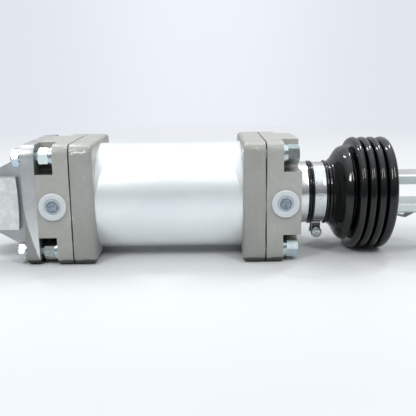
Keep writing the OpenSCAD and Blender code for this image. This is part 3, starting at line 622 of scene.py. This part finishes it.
def bellows():
    """The rubber bellows: a ridged cuff, a bell, a shoulder and four folds, which sag a little."""
    low, high = (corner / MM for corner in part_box("bellows"))
    band_low, band_high = (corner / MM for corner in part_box("clamp_band"))
    plate_low, plate_high = (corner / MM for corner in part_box("bellows_end_plate"))
    neck_r, cuff_r, rim_r, wall = 22.02, 24.2, 26.2, 2.0
    fold_r, valley_r, pitch, last_gap, half, last_half = high.z, 30.0, 7.4, 0.8, 2.8, 3.7
    last_x = high.x - last_half
    fold_x = [last_x - last_gap - pitch * i for i in (3, 2, 1)] + [last_x]
    shoulder_r, shoulder_gap = 39.0, 7.6
    shoulder_x = fold_x[0] - shoulder_gap
    band_end = band_high.x
    ridge, lip_r = 0.9, 1.1
    outer = [(neck_r, low.x + 0.3)]
    for x in (low.x + ridge, band_low.x - 0.4 - ridge):
        outer += arc(rim_r - ridge, x, ridge, -90, 90, 8)
    outer += [(cuff_r, band_low.x - 0.3), (cuff_r, band_end + 0.2)]
    outer += arc(cuff_r + lip_r, band_end + 1.4, lip_r, -60, 60, 6)
    bell_x = band_end + 3.0
    bell = smooth_path([(25.4, bell_x), (26.6, bell_x + 2.0), (29.4, bell_x + 4.6), (33.2, bell_x + 6.9),
                        (36.9, bell_x + 9.6), (38.7, shoulder_x - 0.8), (shoulder_r, shoulder_x + 0.4)], 8)
    rib_h, rib_pitch, rib_end = 0.34, 2.1, bell_x + 6.2
    for r, x in bell:
        fade = max(0, (rib_end - x) / (rib_end - bell_x))
        outer.append((r + rib_h * fade * math.sin(2 * math.pi * (x - bell_x) / rib_pitch), x))
    outer += arc(shoulder_r - 1.3, shoulder_x + 0.9, 1.3, 15, 90, 5)
    outer += [(34.0, shoulder_x + 2.4), (valley_r + 0.6, shoulder_x + 3.0), (valley_r, shoulder_x + 3.8)]
    roundness, flank_depth, flank, foot = 1.12, 2.6, 0.97, 0.93
    for x, size in zip(fold_x, (half, half, half, last_half)):
        round_r = size * roundness
        flank_r = fold_r - flank_depth * round_r
        outer += [(valley_r, x - size * foot), (flank_r, x - size * flank)]
        outer += arc(fold_r - round_r, x, round_r, -74, 74, 14)
        outer += [(flank_r, x + size * flank), (valley_r, x + size * foot)]
    outer[-1] = (valley_r - wall, last_x + last_half - 0.3)
    outer = [(r, min(max(x, low.x), high.x)) for r, x in outer]
    inner_r, groove_r, gap, slit = valley_r - wall, 41.2, 0.1, 0.8
    inner = [(inner_r, plate_high.x + gap), (groove_r, plate_high.x + gap), (groove_r, plate_low.x - gap),
             (inner_r, plate_low.x - gap)]
    for x in reversed(fold_x[:-1]):
        inner += [(inner_r, x + slit), (fold_r - wall, x + slit)]
        inner += [(fold_r - wall, x - slit), (inner_r, x - slit)]
    inner += [(inner_r, shoulder_x + 1.8), (shoulder_r - wall - 1, shoulder_x + 0.2), (34.0, bell_x + 9.9),
              (30.4, bell_x + 7.9), (26.4, bell_x + 5.2), (24.0, bell_x + 1.4), (neck_r, bell_x - 1.0)]
    lean_z, lean_y, sag = 0.030, -0.022, 0.8

    def place(r, x, angle):
        _, y, z = about_x(r, x, angle)
        share = min(max((x - band_end) / (fold_x[0] - band_end), 0), 1)
        share = share * share * (3 - 2 * share)
        return x + share * (lean_z * z + lean_y * y), y, z - share * sag

    verts, faces = lathe(outer + inner, 144, place)
    piece = add_mesh("rubber_bellows", verts, faces, RUBBER, None, 55)
    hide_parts("bellows")
    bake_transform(piece)


def port_window(name, plug, plastic):
    """The thin bluish middle of a port cap: a ring, a groove and a low dome, set in the cap's dish."""
    low, high = (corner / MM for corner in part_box(plug))
    centre_x = (low.x + high.x) / 2
    dish_y = low.y + 0.8
    profile = [(0.0, 0.02), (0.0, 0.42), (1.6, 0.36), (3.0, 0.22), (3.5, 0.06), (3.9, 0.06), (4.2, 0.34),
               (4.9, 0.46), (5.4, 0.36), (5.8, 0.02)]

    def place(r, depth, angle):
        return centre_x + r * math.cos(angle), dish_y - depth, r * math.sin(angle)

    verts, faces = lathe(profile, 48, place)
    add_mesh(name, verts, faces, plastic, "barrel", 50)


def stud_threads():
    """Rolled thread on the stud ends that stand out of the clevis nuts."""
    low, high = (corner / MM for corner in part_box("rear_studs"))
    stud_r, root, crest, pitch, turns = 4, 3.49, 4.02, 0.42, 3
    hole_r, tip_x, first_x = 0.04, low.x + 0.02, low.x + 0.35
    from_axis = high.y - stud_r
    profile = [(hole_r, tip_x), (root - 0.5, tip_x)]
    for turn in range(turns):
        x = first_x + turn * pitch
        profile += [(root, x), (crest, x + pitch / 2)]
    last_x = first_x + turns * pitch
    profile += [(root, last_x), (hole_r, last_x)]
    for i, (side_y, side_z) in enumerate(((-1, 1), (-1, -1), (1, 1), (1, -1))):

        def place(r, x, angle):
            _, y, z = about_x(r, x, angle)
            return x, y + side_y * from_axis, z + side_z * from_axis

        verts, faces = lathe(profile, 40, place)
        add_mesh(f"stud_thread_{i}", verts, faces, ZINC, "barrel", 30)


def clamp_tail():
    """The band's loose end, lapped over the band, with a row of punched slots."""
    low, high = (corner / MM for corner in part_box("clamp_band"))
    radius, rows, first_slotted, slot_every = high.y - 0.06, 40, 27, 3
    first, last = math.radians(12), math.radians(99)
    across = [low.x + 0.9 + (high.x - low.x - 1.8) * f for f in (0, 0.24, 0.76, 1)]
    count = len(across)
    verts, faces = [], []
    for i in range(rows + 1):
        angle = first + (last - first) * i / rows
        for x in across:
            verts.append((x, -radius * math.sin(angle), radius * math.cos(angle)))
    for i in range(rows):
        for j in range(count - 1):
            slot_here = j == 1 and i >= first_slotted and i % slot_every == 0
            if not slot_here:
                a = i * count + j
                faces.append((a, a + 1, a + count + 1, a + count))
    piece = add_mesh("clamp_band_tail", verts, faces, STRIP, "barrel")
    skin = piece.modifiers.new("thickness", "SOLIDIFY")
    skin.thickness = 0.45 * MM
    skin.offset = 1
    edge = piece.modifiers.new("edge", "BEVEL")
    edge.width = 0.08 * MM
    edge.segments = 2
    edge.limit_method = "ANGLE"


def cross_cutter(centre):
    """A cross of two bars, to cut the recess of a screw head that faces -Y."""
    arm, half_arm, depth = 2.5, 0.42, 1.5
    mesh = bpy.data.meshes.new("cross_cutter")
    bm = bmesh.new()
    for turn in (20, 110):
        bar = bmesh.ops.create_cube(bm, size=1)["verts"]
        bmesh.ops.scale(bm, verts=bar, vec=(2 * arm * MM, 2 * depth * MM, 2 * half_arm * MM))
        bmesh.ops.rotate(bm, verts=bar, matrix=Matrix.Rotation(math.radians(turn), 3, "Y"))
    bmesh.ops.translate(bm, verts=bm.verts, vec=centre * MM)
    bm.to_mesh(mesh)
    bm.free()
    cutter = bpy.data.objects.new("cross_cutter", mesh)
    bpy.context.scene.collection.objects.link(cutter)
    return cutter


def clamp_screw_head():
    """Domed cross-recessed head of the clamp screw, with its shank, in place of the plain CAD screw."""
    low, high = (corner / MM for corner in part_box("clamp_screw"))
    x, z = (low.x + high.x) / 2, (low.z + high.z) / 2
    head_r, head_h, dome, shank_r, chamfer = 4.5, 2.7, 1.3, 1.95, 0.3
    dome_steps, dome_start, first_turn = 8, 28, math.radians(11)
    base_y = low.y + head_h
    shank_end = base_y - high.y
    angles = [math.radians(dome_start + (90 - dome_start) * i / dome_steps) for i in range(dome_steps + 1)]
    profile = [(0.0, head_h), (1.2, head_h - 0.04)]
    profile += [(head_r * math.sin(a), head_h - dome + dome * math.cos(a)) for a in angles]
    profile += [(head_r, 0.25), (head_r - 0.25, 0.0), (shank_r, 0.0), (shank_r, shank_end + chamfer),
                (shank_r - chamfer, shank_end), (0.0, shank_end)]

    def place(r, out, angle):
        return x + r * math.cos(angle + first_turn), base_y - out, z + r * math.sin(angle + first_turn)

    verts, faces = lathe(profile, 64, place)
    piece = add_mesh("clamp_screw_cross_head", verts, faces, ZINC, "barrel", 40)
    cutter = cross_cutter(Vector((x, low.y, z)))
    cut = piece.modifiers.new("cross", "BOOLEAN")
    cut.object = cutter
    cut.solver = "EXACT"
    cut.use_self = True
    bpy.context.view_layer.update()
    cut_mesh = bpy.data.meshes.new_from_object(piece.evaluated_get(bpy.context.evaluated_depsgraph_get()))
    piece.modifiers.clear()
    piece.data = cut_mesh
    bpy.data.objects.remove(cutter)
    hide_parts("clamp_screw")


def clevis_fillets():
    """Cast fillets where the two cheeks meet the clevis plate, outside and inside."""
    plate_thick = 10.2
    plate_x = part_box("rear_clevis")[1].x / MM - plate_thick
    inner_y, outer_y, half_height = 16.0, 28.5, 36.5
    size, steps, rows, sunk = 3.2, 8, 12, 0.3
    angles = [math.pi / 2 * i / steps for i in range(steps + 1)]
    for name, y, side in (("outer_port", -outer_y, -1), ("inner_port", -inner_y, 1),
                          ("inner_far", inner_y, -1), ("outer_far", outer_y, 1)):
        outline = [(plate_x + sunk, y - side * sunk)]
        for a in angles:
            outline.append((plate_x - size + size * math.sin(a), y + side * (size - size * math.cos(a))))
        count = len(outline)
        heights = [-half_height + 2 * half_height * i / rows for i in range(rows + 1)]
        verts = [(x, py, z) for z in heights for x, py in outline]
        faces = [tuple(range(count)), tuple(reversed(range(count * rows, count * (rows + 1))))]
        for row in range(rows):
            for j in range(count):
                a, b = row * count + j, row * count + (j + 1) % count
                faces.append((a, b, b + count, a + count))
        add_mesh(f"clevis_fillet_{name}", verts, faces, CASTING, "barrel", 50)


bellows()
port_window("rear_port_window", "rear_port_plug", REAR_PLASTIC)
port_window("front_port_window", "front_port_plug", FRONT_PLASTIC)
stud_threads()
clamp_tail()
clamp_screw_head()
clevis_fillets()


# --- Stage, light and camera -------------------------------------------------------------------------------


def stage():
    """A pale floor that fades into the surroundings, as a seamless sweep does."""
    size, fade_start, fade_end, near_y, far_y = 4.0, 500.0, 1500.0, -270.0, -110.0
    pale, paler, front_floor_shade = (0.60, 0.62, 0.63), (0.62, 0.635, 0.64), (0.545, 0.57, 0.59)
    corners = [(-size, -size, 0), (size, -size, 0), (size, size, 0), (-size, size, 0)]
    mesh = bpy.data.meshes.new("floor")
    mesh.from_pydata(corners, [], [(0, 1, 2, 3)])
    floor = bpy.data.objects.new("floor", mesh)
    floor.location = (cad_box[1].x / 2, 0, cad_box[0].z)
    bpy.context.scene.collection.objects.link(floor)
    s = Shader("floor", Roughness=0.55)
    # Painted shade: the floor darker towards the front.
    front_shade_mask = s.ramp(s.y(), near_y, far_y, 1.0, 0.0)
    s.set("Base Color", s.mix(front_shade_mask, s.mix(s.noise(300, 2), pale, paler), front_floor_shade))
    clear = s.node("ShaderNodeBsdfTransparent")
    blend = s.node("ShaderNodeMixShader")
    length = s.node("ShaderNodeVectorMath", operation="LENGTH")
    s.link(s.mm.outputs[0], length.inputs[0])
    s.put(blend.inputs[0], s.ramp(length.outputs["Value"], fade_start, fade_end))
    s.link(s.bsdf.outputs[0], blend.inputs[1])
    s.link(clear.outputs[0], blend.inputs[2])
    s.link(blend.outputs[0], s.tree.nodes["Material Output"].inputs["Surface"])
    mesh.materials.append(s.material)


def tent_grey(value):
    """A grey of the tent, a little blue."""
    return value * 0.975, value, value * 1.02


class Surroundings(Tree):
    """The world's node tree, whose colours depend on the direction they are seen in."""

    def __init__(self, world):
        world.use_nodes = True
        super().__init__(world.node_tree)
        self.tree.nodes.clear()
        direction = self.node("ShaderNodeSeparateXYZ")
        self.link(self.node("ShaderNodeTexCoord").outputs["Generated"], direction.inputs[0])
        self.x, self.y, z = direction.outputs
        self.height = self.math("MULTIPLY_ADD", z, 0.5, 0.5)

    def bands(self, stops):
        """A colour that changes with height; each stop is a height from -1 to 1 and its colour."""
        made = self.node("ShaderNodeValToRGB")
        made.color_ramp.interpolation = "EASE"
        while len(made.color_ramp.elements) < len(stops):
            made.color_ramp.elements.new(0.5)
        for element, (height, color) in zip(made.color_ramp.elements, stops):
            element.position = (height + 1) / 2
            element.color = (*color, 1)
        self.link(self.height, made.inputs[0])
        return made.outputs[0]

    def grey_bands(self, stops):
        return self.bands([(height, tent_grey(value)) for height, value in stops])

    def tent(self):
        """What lights the cylinder: bright above and behind, with a dim opening in front."""
        front = self.grey_bands([(-1.0, 0.85), (-0.05, 0.85), (0.0, 0.50), (0.05, 0.28), (0.12, 0.20),
                                 (0.34, 0.34), (0.55, 0.50), (0.70, 0.85), (1.0, 1.5)])
        back = self.grey_bands([(-1.0, 0.85), (-0.05, 0.50), (0.15, 0.50), (0.40, 0.74), (0.62, 0.80),
                                (1.0, 1.5)])
        return self.mix(self.ramp(self.y, -0.55, 0.10), front, back)

    def sweep(self):
        """What the camera sees behind the cylinder: a pale sweep, a little darker to the sides."""
        below = (0.88, 0.92, 0.96)
        middle = self.bands([(-1.0, below), (-0.10, (0.85, 0.88, 0.94)), (0.2, (0.88, 0.91, 0.97)),
                             (1.0, (0.88, 0.91, 0.97))])
        sides = self.bands([(-1.0, below), (-0.22, (0.82, 0.86, 0.92)), (-0.05, (0.755, 0.795, 0.865)),
                            (1.0, (0.77, 0.81, 0.88))])
        return self.mix(self.ramp(self.math("ABSOLUTE", self.x), 0.02, 0.30), middle, sides)


def surroundings():
    """Lights the cylinder with a tent and shows the camera a plain sweep."""
    world = bpy.data.worlds.new("tent")
    bpy.context.scene.world = world
    around = Surroundings(world)
    camera_ray = around.node("ShaderNodeLightPath").outputs["Is Camera Ray"]
    background = around.node("ShaderNodeBackground")
    around.link(around.mix(camera_ray, around.tent(), around.sweep()), background.inputs[0])
    around.link(background.outputs[0], around.node("ShaderNodeOutputWorld").inputs[0])


def lamp(name, x, elevation, behind, width, height, radiance):
    """A soft lamp aimed at the cylinder; x is its place along the cylinder, in metres from the middle."""
    middle = (cad_box[0] + cad_box[1]) / 2
    reach = 1.5
    side = 1 if behind else -1
    data = bpy.data.lights.new(name, "AREA")
    data.shape = "RECTANGLE"
    data.size = width
    data.size_y = height
    data.energy = radiance * math.pi * width * height
    obj = bpy.data.objects.new(name, data)
    offset = Vector((x, side * reach * math.cos(elevation), reach * math.sin(elevation)))
    obj.location = middle + offset
    obj.rotation_euler = (-offset).to_track_quat("-Z", "Y").to_euler()
    obj.visible_camera = False
    bpy.context.scene.collection.objects.link(obj)


def lamps():
    """Two pairs of lamps: one in front, halfway up, and one above, a little behind."""
    for side in (-1, 1):
        lamp(f"front_lamp_{side + 2}", 0.7 * side, math.radians(50), behind=False, width=0.11, height=0.56,
             radiance=36)
        lamp(f"top_lamp_{side + 2}", 0.6 * side, math.radians(64), behind=True, width=0.09, height=0.44,
             radiance=42)


def camera():
    """The camera stands in front of the cylinder, a little above it, turned and rolled by under a degree."""
    place = (0.1723, -0.5122, 0.0984)
    yaw, pitch, roll = (math.radians(angle) for angle in (0.208, 12.23, -0.743))
    look = Vector((math.sin(yaw) * math.cos(pitch), math.cos(yaw) * math.cos(pitch), -math.sin(pitch)))
    level = Vector((math.cos(yaw), -math.sin(yaw), 0))
    up = level.cross(look)
    right = math.cos(roll) * level + math.sin(roll) * up
    top = -math.sin(roll) * level + math.cos(roll) * up
    data = bpy.data.cameras.new("camera")
    data.sensor_width = 36
    data.lens = 54.06
    data.clip_start = 0.01
    obj = bpy.data.objects.new("camera", data)
    axes = Matrix((right, top, -look)).transposed().to_4x4()
    obj.matrix_world = Matrix.Translation(place) @ axes
    bpy.context.scene.collection.objects.link(obj)
    bpy.context.scene.camera = obj


stage()
surroundings()
lamps()
camera()
bpy.context.scene.view_settings.view_transform = "Standard"
